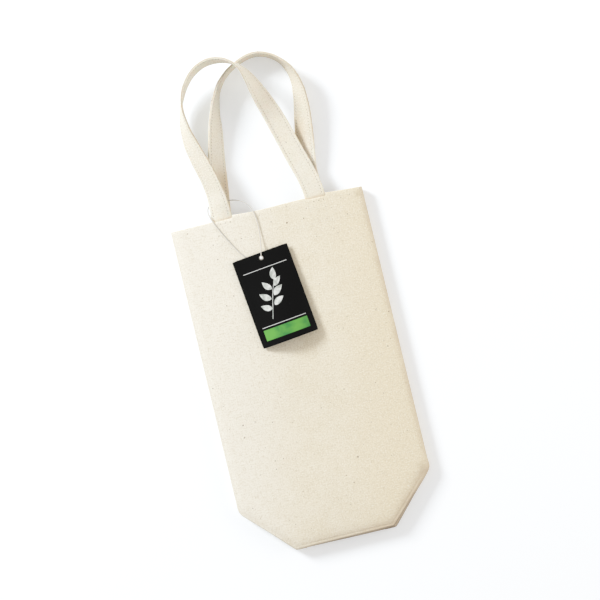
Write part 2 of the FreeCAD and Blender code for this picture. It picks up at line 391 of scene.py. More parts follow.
# Bag cloth: a flat shell with rolled sides, its base folded in between front and back.
bagCloth = dict(
    halfWidth=90.0, baseHalf=46.0, corner=44.0, length=310.0, mid=7.0, crown=6.6,
    thickness=0.75, foldRadius=0.43, foldSteps=6, hemDepth=25.0, hemSteps=8, cornerEase=4.0,
    spacing=3.0, columns=56, columnGap=0.5, besideLeg=(-0.7, 0.0, 0.7), tuckedRows=5, tuckSlope=0.3,
    cornerTurn=8, slantTurn=2, rollPower=-4, leastHeight=0.05,
    # distance in from the edge, height above the seam: from the tucked edge out and over the roll
    sideEdge=(
        (8.0, 0.45), (4.5, 0.45), (1.6, 0.45), (0.8, 0.50), (0.4, 0.68), (0.12, 1.05), (0.0, 1.6),
        (0.08, 2.4), (0.35, 3.3), (0.9, 4.3), (1.4, 4.85), (2.0, 5.35), (2.8, 5.80), (3.8, 6.15),
        (5.0, 6.42), (6.8, 6.57), (9.0, 6.6),
    ),
    baseEdge=(   # with the crease where the base is sewn on
        (7.0, 0.90), (4.5, 0.85), (2.8, 0.85), (1.7, 0.95), (0.85, 1.2), (0.3, 1.6), (0.0, 2.2),
        (0.25, 3.3), (0.65, 4.2), (1.2, 4.80), (2.0, 5.08), (2.6, 4.72), (3.2, 5.18), (4.6, 5.70),
        (7.6, 6.2), (12.0, 6.50), (18.0, 6.6),
    ),
    legs=(-41.6, 46.4), legHalf=9.5, mouthLift=2.4, mouthDip=0.7, mouthFade=52.0, mouthRise=1.3,
    mouthStep=(-0.8, 2.2), legStep=(2.0, -3.0), bowStart=22, bowEnd=(-3, -12),
    mouthEase=(298, 309), easeLeast=0.25, mouthReach=(238, 310), backShare=0.35, liftFrom=(0.15, 1.0),
    # how far the back stands out past the front at the foot and the slanted corners
    backBase=1.7, backChamfer=1.8, backSpread=(26, 0), backFade=(-50, 30), backLeast=0.6,
    slantSpread=(22, 0), slantTop=(60, 30), backLeft=-0.4,
)


def halfWidthAt(c, y):
    a, b, ease = c["halfWidth"], c["baseHalf"] + y, c["cornerEase"]
    near = max(0.0, ease - abs(a - b)) / ease
    return min(a, b) - near * near * ease / 4


def toSlant(c, x, y):
    return (c["baseHalf"] + y - abs(x)) / math.sqrt(2)


def edgeDistance(c, x, y):
    return min(c["halfWidth"] - abs(x), toSlant(c, x, y), y)


# The mouth edge steps up past each leg, dips over it and bows out between the two.
def mouthShift(c, x, ease):
    shift = 0.0
    for leg in c["legs"]:
        past = x - (leg + c["legHalf"])
        if past > 0:
            fall = max(0.0, 1 - past / c["mouthFade"]) ** 2
            shift += c["mouthLift"] * fall * smooth(*(d * ease for d in c["mouthStep"]), past)
        shift -= c["mouthDip"] * smooth(*(c["legHalf"] + d * ease for d in c["legStep"]), abs(x - leg))
    first, last = c["legs"]
    bow = smooth(first + c["bowStart"], last - c["bowStart"], x)
    return shift + c["mouthRise"] * bow * smooth(*(last + d for d in c["bowEnd"]), x)


# Painted shade: the cloth darker along the base, most on the right, along the right side and at the right
# corner, where it rolls away from the light; each pair runs from no mark to the full mark.
paintedLightShade = dict(
    base=(11, 0.5), baseFade=(-60, 60), baseLeast=0.15, side=(5, 0.5), sideMost=0.62,
    corner=(16, 2), cornerMost=0.6, rim=(1.9, 0.5), rimFade=(-70, 0), rimMost=0.9,
    line=(1.15, 0.4), lineFade=(-50, -28), lineTop=(48, 10),   # painted dark line of shade along the very edge of the base
    toneAcross=150, toneAlong=900, toneMiddle=110,   # painted light to the left and up, painted shade to the right and down
)


def paintedLightShadeAt(c, w, x, y):
    toBase = min(y, toSlant(c, x, y))
    low = smooth(*w["base"], toBase) * mixed(w["baseLeast"], 1.0, smooth(*w["baseFade"], x))
    side = smooth(*w["side"], c["halfWidth"] - x) * w["sideMost"]
    corner = smooth(*w["corner"], math.hypot(x - c["halfWidth"], y - c["corner"])) * w["cornerMost"]
    rim = smooth(*w["rim"], toBase) * w["rimMost"] * smooth(*w["rimFade"], x)
    line = smooth(*w["line"], toBase) * smooth(*w["lineFade"], x) * smooth(*w["lineTop"], y)
    tone = 0.5 + x / w["toneAcross"] + (w["toneMiddle"] - y) / w["toneAlong"]
    return min(1.0, max(low, side, corner, rim)) + line, min(1.0, max(0.0, tone))


# Soft unevenness of the lying cloth, none along the edges.
clothLie = dict(
    seed=3.0, edge=(4, 34), hem=(262, 300), hemCalm=0.75,
    broad=0.011, broadLift=0.75, short=(0.030, 0.022), shortLift=0.28,
    sag=0.6, sagAcross=(80, 10), sagLow=(20, 120), sagHigh=(300, 200),
    sideFall=3.6, sideWidth=62.0, sidePower=2.4, baseFall=1.2, baseLength=50,
    legShow=0.30, legEdge=(2.5, -1.5), legLow=(283, 288),   # strap ends show faintly through the hem
)


def clothLift(c, k, x, y):
    calm = smooth(*k["edge"], edgeDistance(c, x, y)) * (1 - k["hemCalm"] * smooth(*k["hem"], y))
    broad = noise.noise(Vector((x * k["broad"], y * k["broad"], k["seed"])))
    short = noise.noise(Vector((x * k["short"][0], y * k["short"][1], k["seed"] + 7)))
    lift = calm * (k["broadLift"] * broad + k["shortLift"] * short)
    middle = smooth(*k["sagAcross"], abs(x)) * smooth(*k["sagLow"], y) * smooth(*k["sagHigh"], y)
    lift -= k["sag"] * middle
    side = max(0.0, 1 - max(0.0, c["halfWidth"] - abs(x)) / k["sideWidth"])
    lift -= k["sideFall"] * side ** k["sidePower"]
    lift -= k["baseFall"] * max(0.0, 1 - max(0.0, y) / k["baseLength"]) ** 2
    for leg in c["legs"]:
        near = smooth(*(c["legHalf"] + d for d in k["legEdge"]), abs(x - leg))
        lift += k["legShow"] * near * smooth(*k["legLow"], y)
    return lift


def frontTop(c, x, y):
    return c["mid"] + c["crown"] + clothLift(c, clothLie, x, y) + c["thickness"] / 2


# Rows from the tucked base edge to the end of the turned hem:
# place along the bag, height over the seam, inward step, run of the cloth, tucked under.
def panelRows(c):
    edge, start, crown, radius = c["baseEdge"], c["baseEdge"][-1][0], c["crown"], c["foldRadius"]
    rows, run = [], 0.0
    for i in range(len(edge) - 1, -1, -1):
        if i < len(edge) - 1:
            run -= math.dist(edge[i], edge[i + 1])
        rows.insert(0, (*edge[i], 0.0, start + run, i < c["tuckedRows"]))
    foldY = c["length"] - c["thickness"] / 2 - radius
    count = round((foldY - start) / c["spacing"])
    for i in range(1, count + 1):
        y = mixed(start, foldY, i / count)
        rows.append((y, crown, 0.0, y, False))
    run = foldY
    for i in range(1, c["foldSteps"] + 1):
        angle = math.pi / 2 - math.pi * i / c["foldSteps"]
        run += radius * math.pi / c["foldSteps"]
        rows.append((foldY + radius * math.cos(angle), crown, radius * (1 - math.sin(angle)), run, False))
    for i in range(1, c["hemSteps"] + 1):
        down = c["hemDepth"] * i / c["hemSteps"]
        rows.append((foldY - down, crown, 2 * radius, run + down, False))
    return rows


# Shares of the half width for the columns, closer together at the edges of the legs.
def panelColumns(c):
    full = c["halfWidth"] - c["sideEdge"][-1][0]
    beside = [
        leg + sign * c["legHalf"] + d for leg in c["legs"] for sign in (-1, 1) for d in c["besideLeg"]
    ]
    even = [mixed(-full, full, i / c["columns"]) for i in range(1, c["columns"])]
    even = [x for x in even if min(abs(x - b) for b in beside) > c["columnGap"]]
    return sorted(x / full for x in even + beside)


# One row across: place, height over the seam, run of the cloth.
def panelLine(c, y, inward, tucked, shares):
    half = c["baseHalf"] - c["tuckSlope"] * y if tucked else halfWidthAt(c, y)
    # below the corner the side seam gives way to the folded base
    turned = smooth(c["corner"] + c["cornerTurn"], c["corner"] - c["cornerTurn"], y)
    slanted = smooth(c["corner"] + c["slantTurn"], c["corner"] - c["slantTurn"], y)
    slant = mixed(1.0, math.sqrt(2), slanted)
    edge = [
        (mixed(s[0], f[0], turned), mixed(s[1], f[1], turned)) for s, f in zip(c["sideEdge"], c["baseEdge"])
    ]
    last = len(edge) - 1
    reach = half - edge[last][0] * slant
    columns, arc = [], 0.0
    for i in range(last, -1, -1):
        d, h = edge[i]
        ahead, behind = edge[min(i + 1, last)], edge[max(i - 1, 0)]
        step = (ahead[0] - behind[0], ahead[1] - behind[1])
        size = math.hypot(*step)
        if i < last:
            arc += math.dist(edge[i], edge[i + 1])
        columns.append((
            half - (d + inward * step[1] / size) * slant, h - inward * step[0] / size, reach + arc
        ))
    line = [(-x, h, -u) for x, h, u in reversed(columns)]
    line += [(reach * share, c["crown"] - inward, reach * share) for share in shares]
    return line + columns


def panelPoint(c, x, y, sideHeight, baseHeight, front):
    height, crown, power = sideHeight, c["crown"], c["rollPower"]
    if baseHeight < crown:   # the side roll runs into the base roll
        low, height = max(c["leastHeight"], sideHeight), baseHeight
        if low < crown:
            height = (low ** power + baseHeight ** power - crown ** power) ** (1 / power)
    ease = mixed(1.0, c["easeLeast"], smooth(*c["mouthEase"], y))
    yHere = y + mouthShift(c, x, ease) * smooth(*c["mouthReach"], y) * (1.0 if front else c["backShare"])
    if front:
        lift = clothLift(c, clothLie, x, y) * smooth(*c["liftFrom"], height / crown)
        return x, yHere, c["mid"] + height + lift
    spread = smooth(*c["backSpread"], edgeDistance(c, x, y))
    foot = smooth(*c["backSpread"], y) * mixed(c["backLeast"], 1.0, smooth(*c["backFade"], x))
    out = smooth(*c["slantSpread"], toSlant(c, x, y)) * smooth(*c["slantTop"], y)
    xHere = x + c["backChamfer"] * spread * out * (1 if x > 0 else c["backLeft"])
    return xHere, yHere - c["backBase"] * spread * foot, c["mid"] - height


def panelGrid(c, front):
    rows, shares = panelRows(c), panelColumns(c)
    points, runs, lightShade = [], [], []
    for y, baseHeight, inward, v, tucked in rows:
        line = panelLine(c, y, inward, tucked, shares)
        for x, sideHeight, u in line:
            points.append(panelPoint(c, x, y, sideHeight, baseHeight, front))
            runs.append((u, v))
            lightShade.append(paintedLightShadeAt(c, paintedLightShade, x, y))
    faces = gridFaces(len(rows), len(line))
    return points, faces if front else [quad[::-1] for quad in faces], runs, lightShade


for side in ("front", "back"):
    points, faces, runs, lightShade = panelGrid(bagCloth, side == "front")
    piece = meshPiece(side + "_cloth", points, faces, panelCloth, runs, lightShade=lightShade)
    thicken(piece, bagCloth["thickness"])
    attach(piece, "bag")
    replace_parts(piece, side + "_panel")
print("front and back cloth done")

# Base cloth: two layers joined in a hairpin fold between the panels.
gussetCloth = dict(
    depth=43.2, start=3.2, gap=1.7, bend=0.75, narrow=(8, 36), slantIn=7.05, sideIn=9.0,
    thickness=0.75, across=40, along=14, bendSteps=8,
)


def gussetGrid(c, g):
    rows, foldY = [], g["depth"] - g["bend"]
    for i in range(g["along"] + 1):
        y = mixed(g["start"], foldY, i / g["along"])
        rows.append((y, mixed(g["gap"], g["bend"], smooth(*g["narrow"], y))))
    back = [(y, -h) for y, h in reversed(rows)]
    for i in range(1, g["bendSteps"]):
        angle = math.pi * i / g["bendSteps"]
        rows.append((foldY + g["bend"] * math.sin(angle), g["bend"] * math.cos(angle)))
    rows += back
    points, runs, v = [], [], 0.0
    for i, (y, h) in enumerate(rows):
        if i:
            v += math.dist(rows[i - 1], rows[i])
        half = min(c["baseHalf"] + y - g["slantIn"], c["halfWidth"] - g["sideIn"])
        for j in range(g["across"] + 1):
            x = mixed(-half, half, j / g["across"])
            points.append((x, y, c["mid"] + h))
            runs.append((x, v))
    return points, gridFaces(len(rows), g["across"] + 1), runs


gussetPoints, gussetFaces, gussetRuns = gussetGrid(bagCloth, gussetCloth)
gusset = meshPiece("base_gusset_cloth", gussetPoints, gussetFaces, liningCloth, gussetRuns)
thicken(gusset, gussetCloth["thickness"])
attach(gusset, "bag")
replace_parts(gusset, "bottom_gusset")
print("base folded in")

# Stitches: short round threads whose ends dip into the cloth.
stitchLook = dict(length=2.8, pitch=4.0, radius=0.20, dip=0.22, sides=6, hole=0.24, topHole=0.44, legGap=0.3)
stitchForm = (   # share of the length, dip, width
    (0, 1.0, 0.55), (0.10, 0.45, 0.9), (0.30, 0.05, 1.0), (0.5, 0, 1.0),
    (0.70, 0.05, 1.0), (0.90, 0.45, 0.9), (1, 1.0, 0.55),
)


def newSeam():
    return dict(points=[], faces=[], holes=[], marksFrom=None)


def addTube(seam, path, radii, normal, sides):
    first, last = len(seam["points"]), len(path) - 1
    for i, p in enumerate(path):
        ahead = (Vector(path[min(i + 1, last)]) - Vector(path[max(i - 1, 0)])).normalized()
        across = ahead.cross(normal).normalized()
        up = across.cross(ahead)
        for k in range(sides):
            angle = 2 * math.pi * k / sides
            out = (across * math.cos(angle) + up * math.sin(angle)) * radii[i]
            seam["points"].append(Vector(p) + out)
    seam["faces"] += ringFaces(len(path), sides, first)


def addStitch(seam, start, end, normal, look):
    path = [start.lerp(end, share) - normal * look["dip"] * drop for share, drop, wide in stitchForm]
    addTube(seam, path, [look["radius"] * wide for share, drop, wide in stitchForm], normal, look["sides"])


# Needle holes: short grains of painted shade that sit in the cloth between the stitches, the last faces of a
# seam.
def markHoles(seam):
    seam["marksFrom"] = len(seam["faces"])
    for start, end, normal, size in seam["holes"]:
        path = [start, start.lerp(end, 0.5), end]
        addTube(seam, path, [size * 0.5, size, size * 0.5], normal, stitchLook["sides"])
    return seam


def stitchRow(seam, row, height, up, look, skip=(), hole=None):
    x0, y0, x1, y1 = row
    length = math.hypot(x1 - x0, y1 - y0)
    count = max(1, int(length // look["pitch"]))
    ahead = Vector((x1 - x0, y1 - y0, 0)) / length * (look["length"] / 2)
    normal = Vector((0, 0, up))
    for i in range(count):
        share = (i + 0.5) / count
        x, y = mixed(x0, x1, share), mixed(y0, y1, share)
        if any(abs(x - leg) < bagCloth["legHalf"] + look["length"] / 2 + look["legGap"] for leg in skip):
            continue
        middle = Vector((x, y, height(x, y)))
        addStitch(seam, middle - ahead, middle + ahead, normal, look)
        if hole:
            spot = middle + ahead.normalized() * (length / count / 2)
            spot.z = height(spot.x, spot.y)
            step = ahead.normalized() * hole
            seam["holes"].append((spot - step, spot + step, normal, hole))


def threadPiece(name, seam, body=None):
    second = None if seam["marksFrom"] is None else (needleShade, seam["marksFrom"])
    piece = meshPiece(name, seam["points"], seam["faces"], seamThread, second=second)
    if body:
        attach(piece, body)
    return piece


# Hem rows, and the boxed crosses that hold the strap ends.
hemRow = dict(y=287.0, reach=81.5, innerBack=1.62, outerBack=0.15, frontSink=0.12)
strapBox = dict(
    inset=2.5, low=290.0, high=306.5, middle=298.25, trim=0.65, crossIn=1.2, crossEnd=1.6,
    crossGap=(0.6, 0.9), strapBack=3.92, frontSink=0.10,
)


def sewnHem(front):
    seam, h, look = newSeam(), hemRow, stitchLook
    row = (-h["reach"], h["y"], h["reach"], h["y"])
    if front:
        stitchRow(
            seam, row, lambda x, y: frontTop(bagCloth, x, y) - h["frontSink"], 1, look, hole=look["hole"]
        )
    else:
        stitchRow(seam, row, lambda x, y: h["innerBack"], 1, look, skip=bagCloth["legs"])
        stitchRow(seam, row, lambda x, y: h["outerBack"], -1, look)
    return markHoles(seam)


def sewnBoxes(front):
    seam, b, look = newSeam(), strapBox, stitchLook
    half, low, high, middle = bagCloth["legHalf"] - b["inset"], b["low"], b["high"], b["middle"]

    def height(x, y):
        return frontTop(bagCloth, x, y) - b["frontSink"] if front else b["strapBack"]

    for leg in bagCloth["legs"]:
        rows = [(leg - half, y, leg + half, y) for y in (low, high)]
        rows += [(leg + s * half, low + b["trim"], leg + s * half, high - b["trim"]) for s in (-1, 1)]
        for across, out in ((-1, -1), (1, -1), (-1, 1), (1, 1)):
            rows.append((
                leg + across * (half - b["crossIn"]), middle + out * ((high - low) / 2 - b["crossEnd"]),
                leg + across * b["crossGap"][0], middle + out * b["crossGap"][1],
            ))
        for i, row in enumerate(rows):   # the row at the mouth has the largest holes
            stitchRow(seam, row, height, 1, look, hole=look["topHole" if i == 1 else "hole"])
    return markHoles(seam)


for side in ("front", "back"):
    for kind, sewn in (("hem", sewnHem), ("box", sewnBoxes)):
        rows = threadPiece(f"{side}_{kind}_thread", sewn(side == "front"), "bag")
        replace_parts(rows, f"{side}_{kind}_stitching")
print("hems and strap ends sewn")

# Side seams: overlock thread wound round the raw edges inside.
overlock = dict(
    low=48.0, high=284.0, pitch=2.6, half=1.15, radius=0.22, sides=5, lean=(0.3, 1, 0.2),
    # one turn: distance in from the side, share of the pitch, side of the seam
    turn=((4.3, 0, 1), (8.7, 0.3, 1), (9.05, 0.42, 0), (8.7, 0.54, -1), (4.3, 0.8, -1), (4.3, 0.9, 0)),
)


def overlockRun(c, o, sign):
    seam, path = newSeam(), []
    for i in range(int((o["high"] - o["low"]) / o["pitch"])):
        y = o["low"] + i * o["pitch"]
        for inset, share, face in o["turn"]:
            path.append((
                sign * (c["halfWidth"] - inset), y + share * o["pitch"], c["mid"] + face * o["half"]
            ))
    x, y, z = o["lean"]
    addTube(seam, path, [o["radius"]] * len(path), Vector((x * sign, y, z)).normalized(), o["sides"])
    return seam


for sign, side in ((-1, "left"), (1, "right")):
    wound = overlockRun(bagCloth, overlock, sign)
    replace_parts(threadPiece(side + "_seam_overlock", wound, "bag"), side + "_side_seam")
print("side seams overlocked")

# Handles: one folded and topstitched strap each, sewn in at both ends and standing on edge as a loop.
strapSew = dict(
    shift=2.4, half=44.0, mouth=310.0, gap=0.3, reach=141.0, width=19.0, stations=170, bendLength=12,
    endLength=24.0, endSteps=8,
    section=(   # across and half thickness, from the groove between the folded edges to the middle
        (-9.10, 0.0), (-9.30, 0.16), (-9.47, 0.36), (-9.50, 0.58), (-9.38, 0.84), (-9.10, 1.01),
        (-8.50, 1.10), (-7.45, 1.07), (-7.05, 1.00), (-6.75, 0.90), (-6.45, 1.00), (-6.00, 1.06),
        (-3.50, 1.00), (0.0, 0.97),
    ),
    grooveShade=1.75, grooveDepth=0.30, underShift=40,
    # unevenness: height or share, and its pace along and across the strap
    hollow=(0.32, 0.02), crease=(0.30, 0.10, 0.045, 0.02), waver=(0.012, 0.045), pucker=(0.05, 0.16, 0.2),
    rowAt=6.75, rowDepth=0.92, rowFree=2,
    stitch=dict(length=1.9, pitch=2.8, radius=0.20, dip=0.25, sides=6, hole=0.42, holeDepth=0.14),
)
frontLoop = dict(
    name="front", base=11.2, crown=30.0, seed=4.0,
    tones=(   # along the strap: below a half painted light, above it painted shade
        (0.0, 0.5), (0.10, 0.5), (0.155, 0.92), (0.33, 0.95), (0.44, 0.5), (0.56, 0.4), (0.64, 0.05),
        (0.70, 0.05), (0.78, 0.4), (0.86, 0.5), (1.0, 0.35),
    ),
    # painted shade where the hem or the other strap shades the strap: middle and spread along it, strength,
    # from and to across it, face
    strapShades=((0.0645, 0.0065, 0.55, -20.0, -19.0, 1), (0.9355, 0.0065, 0.75, -20.0, -19.0, 1)),
    stations=(   # across, out, rise to the crown, roll
        (-1.00, 0.16, 0.15, 28), (-1.18, 0.42, 0.17, 40), (-1.30, 0.63, 0.16, 64),
        (-1.18, 0.84, 0.36, 90), (-0.86, 0.96, 0.66, 94), (-0.46, 1.00, 0.92, 94),
        (0.00, 0.95, 1.00, 82), (0.30, 0.79, 0.61, 48), (0.545, 0.58, 0.16, 18),
        (0.805, 0.29, 0.03, 5),
    ),
)
backLoop = dict(
    name="back", base=2.8, crown=10.0, seed=9.0,
    tones=(
        (0.0, 0.5), (0.12, 0.3), (0.19, 0.0), (0.38, 0.0), (0.47, 0.3), (0.55, 0.6), (0.63, 1.0),
        (0.76, 1.0), (0.84, 0.55), (1.0, 0.5),
    ),
    strapShades=(
        (0.140, 0.09, 0.75, -14.0, 6.0, 0), (0.795, 0.10, 0.95, -6.0, 7.0, 0),
        (0.53, 0.22, 0.28, -20.0, -19.0, 1),
    ),
    stations=(
        (-0.95, 0.16, 0.17, -10), (-0.84, 0.36, 0.64, -38), (-0.715, 0.55, 0.82, -50),
        (-0.575, 0.74, 0.91, -74), (-0.34, 0.88, 0.98, -86), (0.00, 0.96, 1.00, -89),
        (0.45, 1.00, 1.00, -90), (0.90, 0.94, 1.00, -88), (1.13, 0.83, 0.97, -75),
        (1.19, 0.70, 0.86, -58), (1.14, 0.53, 0.66, -38), (1.04, 0.33, 0.44, -24),
        (0.97, 0.15, 0.17, -9),
    ),
)


# Slopes of a smooth cubic through values at given steps, by one sweep down and one back.
def slopesThrough(steps, values, first, last):
    count = len(values)
    upper, right = [0.0] * count, [first] * count
    for i in range(1, count - 1):
        before, after = steps[i] - steps[i - 1], steps[i + 1] - steps[i]
        pull = 3 * ((values[i] - values[i - 1]) / before ** 2 + (values[i + 1] - values[i]) / after ** 2)
        pivot = 2 / before + 2 / after - upper[i - 1] / before
        upper[i] = 1 / after / pivot
        right[i] = (pull - right[i - 1] / before) / pivot
    slopes = [last] * count
    for i in range(count - 2, -1, -1):
        slopes[i] = right[i] - slopes[i + 1] * upper[i] if i else first
    return slopes


def along(steps, values, slopes, t):
    i = max(k for k in range(len(steps) - 1) if steps[k] <= t + 1e-9)
    size = steps[i + 1] - steps[i]
    s = (t - steps[i]) / size
    return (
        values[i] * (2 * s ** 3 - 3 * s ** 2 + 1) + slopes[i] * (size * (s ** 3 - 2 * s ** 2 + s))
        + values[i + 1] * (3 * s ** 2 - 2 * s ** 3) + slopes[i + 1] * (size * (s ** 3 - s ** 2))
    )


# Stations of a whole strap: run, centre, direction across, direction through.
def strapStations(k, loop):
    places, rolls = [], []
    for across, out, rise, roll in ((-1.0, 0.0, 0.0, 0), *loop["stations"], (1.0, 0.0, 0.0, 0)):
        places.append(Vector((
            k["shift"] + across * k["half"], k["mouth"] + k["gap"] + out * (k["reach"] - k["gap"]),
            mixed(loop["base"], loop["crown"], rise),
        )))
        rolls.append(float(roll))
    steps = [0.0]
    for a, b in zip(places, places[1:]):
        steps.append(steps[-1] + (b - a).length)
    slopes = slopesThrough(steps, places, Vector((0, 1, 0)), Vector((0, -1, 0)))
    turns = slopesThrough(
        steps, rolls, (rolls[1] - rolls[0]) / steps[1],
        (rolls[-1] - rolls[-2]) / (steps[-1] - steps[-2]),
    )
    stops = [steps[-1] * i / k["stations"] for i in range(k["stations"] + 1)]
    under = [k["mouth"] - k["endLength"] * i / k["endSteps"] for i in range(k["endSteps"] + 1)]
    leftEnd, rightEnd = (   # sewn ends under the hem
        [Vector((k["shift"] + sign * k["half"], y, loop["base"])) for y in under] for sign in (-1, 1)
    )
    flat = [0.0] * len(under)
    centres = leftEnd[::-1] + [along(steps, places, slopes, t) for t in stops] + rightEnd
    angles = flat + [along(steps, rolls, turns, t) for t in stops] + flat
    stations, run, last = [], 0.0, len(centres) - 1
    for i, centre in enumerate(centres):
        if i:
            run += (centre - centres[i - 1]).length
        ahead = (centres[min(i + 1, last)] - centres[max(i - 1, 0)]).normalized()
        side = ahead.cross(Vector((0, 0, 1))).normalized()
        up = side.cross(ahead)
        angle = math.radians(angles[i])
        stations.append((
            run, centre, side * math.cos(angle) + up * math.sin(angle),
            up * math.cos(angle) - side * math.sin(angle),
        ))
    return stations


def stationAt(stations, run):
    for a, b in zip(stations, stations[1:]):
        if b[0] >= run and b[0] > a[0]:
            share = (run - a[0]) / (b[0] - a[0])
            return [mixed(a[i], b[i], share) for i in (1, 2, 3)]
    return list(stations[-1][1:])


def cupAt(k, seed, run, w):
    deep, pace = k["hollow"]
    hollow = deep * noise.noise(Vector((run * pace, seed, 0.3)))
    deep, pace, skew, across = k["crease"]
    crease = deep * noise.noise(Vector((run * pace + w * skew, w * across, seed + 6)))
    return hollow * (1 - (w / (k["width"] / 2)) ** 2) + crease


def toneAt(tones, share):
    for (s0, t0), (s1, t1) in zip(tones, tones[1:]):
        if share <= s1:
            return mixed(t0, t1, smooth(s0, s1, share))
    return tones[-1][1]


# The strongest painted shade at a place; a face of 0 means both faces.
def strapShadeAt(strapShades, share, w, t):
    most = 0.0
    for middle, spread, strength, low, high, face in strapShades:
        if t * face >= 0:
            near = smooth(0.0, 1.0, 1 - abs(share - middle) / spread)
            most = max(most, strength * near * smooth(low, high, w))
    return most


def strapMesh(k, loop, stations):
    half, seed = k["section"], loop["seed"]
    top = list(half) + [(-w, t) for w, t in reversed(half[:-1])]
    ring = top + [(w, -t) for w, t in reversed(top[1:-1])]
    waver, edgePace = k["waver"]
    pucker, runPace, acrossPace = k["pucker"]
    points, runs, lightShade = [], [], []
    total = stations[-1][0]
    for run, centre, across, through in stations:
        tone = toneAt(loop["tones"], run / total)
        for w, t in ring:
            edge = noise.noise(Vector((run * edgePace, seed + (5 if w > 0 else 0), 1.7)))
            thick = t
            if abs(t) > k["grooveDepth"]:
                swell = pucker * noise.noise(Vector((run * runPace, w * acrossPace, seed + 2)))
                thick += swell * (1 if t > 0 else -1)
            wide = w * (1 + waver * edge)
            points.append(centre + across * wide + through * (thick + cupAt(k, seed, run, w)))
            runs.append((w + (k["underShift"] if t < 0 else 0), run))
            # painted shade from the bands, and a painted dark line of shade in the groove
            groove = k["grooveShade"] * smooth(k["grooveDepth"], 0.0, abs(t))
            lightShade.append((max(strapShadeAt(loop["strapShades"], run / total, w, t), groove), tone))
    faces = [face[::-1] for face in ringFaces(len(stations), len(ring))]
    return points, faces, runs, lightShade


def strapStitches(k, loop, stations):
    seam, look = newSeam(), k["stitch"]
    count = int((stations[-1][0] - 2 * (k["endLength"] + k["rowFree"])) / look["pitch"])

    def spot(run, w, face):
        centre, across, through = stationAt(stations, run)
        out = face * k["rowDepth"] + cupAt(k, loop["seed"], run, w)
        return centre + across * w + through * out, through * face

    def span(middle, half, w, face):
        start, normal = spot(middle - half, w, face)
        return start, spot(middle + half, w, face)[0], normal.normalized()

    for face in (1, -1):
        for w in (-k["rowAt"], k["rowAt"]):
            for i in range(count):
                middle = k["endLength"] + k["rowFree"] + (i + 0.5) * look["pitch"]
                addStitch(seam, *span(middle, look["length"] / 2, w, face), look)
                start, end, normal = span(middle + look["pitch"] / 2, look["hole"], w, face)
                sunk = normal * look["holeDepth"]
                seam["holes"].append((start - sunk, end - sunk, normal, look["hole"]))
    return markHoles(seam)


def addHandle(k, loop):
    side = loop["name"]
    body = side + "_handle"
    stations = strapStations(k, loop)
    points, faces, runs, lightShade = strapMesh(k, loop, stations)
    strap = meshPiece(side + "_strap", points, faces, strapCloth, runs, lightShade=lightShade)
    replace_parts(strap, body, body + "_left_end", body + "_right_end")
    rows = threadPiece(side + "_strap_thread", strapStitches(k, loop, stations))
    for piece in (strap, rows):
        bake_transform(piece)
    print(side, "handle sewn,", round(stations[-1][0], 1), "mm of strap")


for loop in (frontLoop, backLoop):
    addHandle(strapSew, loop)

# Swing card: turned about its punched hole, arched off the cloth at its foot.
card = dict(
    width=53.0, length=84.0, thickness=0.5, turn=6.5, x=-14.7, y=267.5, hole=2.2, above=5.0,
    cornerCut=0.232, topLeft=15.5, topRight=16.8, lowLeft=15.0, lowRight=18.0, arch=7.0,
    columns=7, lines=18, patch=4.2, ring=32,   # the patch is the square round the hole that a ring fills
    black=(0.0016, 0.0016, 0.0016, 1), soft=(0.0030, 0.0030, 0.0029, 1),
    core=(0.72, 0.71, 0.68, 1), coreSoft=(0.60, 0.59, 0.56, 1),
)


def cardPoint(c, u, v, off=0.0):
    s = (u + c["width"] / 2) / c["width"]
    t = (c["above"] - v) / c["length"]
    z = mixed(mixed(c["topLeft"], c["topRight"], s), mixed(c["lowLeft"], c["lowRight"], s), t)
    z += c["arch"] * t * 4 * s * (1 - s)
    turn = math.radians(c["turn"])
    return (
        c["x"] + u * math.cos(turn) - v * math.sin(turn),
        c["y"] + u * math.sin(turn) + v * math.cos(turn), z + c["thickness"] / 2 + off,
    )


def cardMesh(c):
    half, low, high, patch = c["width"] / 2, c["above"] - c["length"], c["above"], c["patch"]
    even = [half * i / c["columns"] for i in range(1 - c["columns"], c["columns"])]
    columns = sorted({-half, half, -patch, 0.0, patch, *(u for u in even if abs(u) > patch + 1)})
    even = [mixed(low, -patch, i / c["lines"]) for i in range(1, c["lines"])]
    lines = sorted({low, high, -patch, 0.0, patch, *even})
    points, faces, index = [], [], {}

    def corner(u, v):
        key = (round(u, 4), round(v, 4))
        if key not in index:
            index[key] = len(points)
            if abs(u) == half and v in (low, high):   # worn corners
                u -= math.copysign(c["cornerCut"], u)
                v += c["cornerCut"] if v == low else -c["cornerCut"]
            points.append(cardPoint(c, u, v))
        return index[key]

    for u0, u1 in zip(columns, columns[1:]):
        for v0, v1 in zip(lines, lines[1:]):
            if not (-patch <= u0 < patch and -patch <= v0 < patch):
                faces.append((corner(u0, v0), corner(u1, v0), corner(u1, v1), corner(u0, v1)))
    outer, inner = [], []
    for i in range(c["ring"]):
        angle = 2 * math.pi * i / c["ring"]
        across, up = math.cos(angle), math.sin(angle)
        inner.append(corner(c["hole"] * across, c["hole"] * up))
        stretch = patch / max(abs(across), abs(up))
        outer.append(corner(stretch * across, stretch * up))
    for i in range(c["ring"]):
        j = (i + 1) % c["ring"]
        faces.append((inner[i], outer[i], outer[j], inner[j]))
    return points, faces


cardStock = mottled(
    "blackCard", card["black"], card["soft"], scale=1600.0, rough=(0.14, 0.40), detail=3.0, band=(0.3, 0.7),
    gloss=0.06, relief=(0.00002, 0.25),
)
cardCore = mottled("cardCore", card["core"], card["coreSoft"], scale=2200.0, rough=(0.15, 0.70))
cardPiece = meshPiece("swing_card", *cardMesh(card), cardStock)
cardPiece.data.shade_flat()   # crisp cut edges, with the white core showing along them
cardPiece.data.materials.append(cardCore)
thicken(cardPiece, card["thickness"]).material_offset_rim = 1
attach(cardPiece, "tag")
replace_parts(cardPiece, "tag_card")

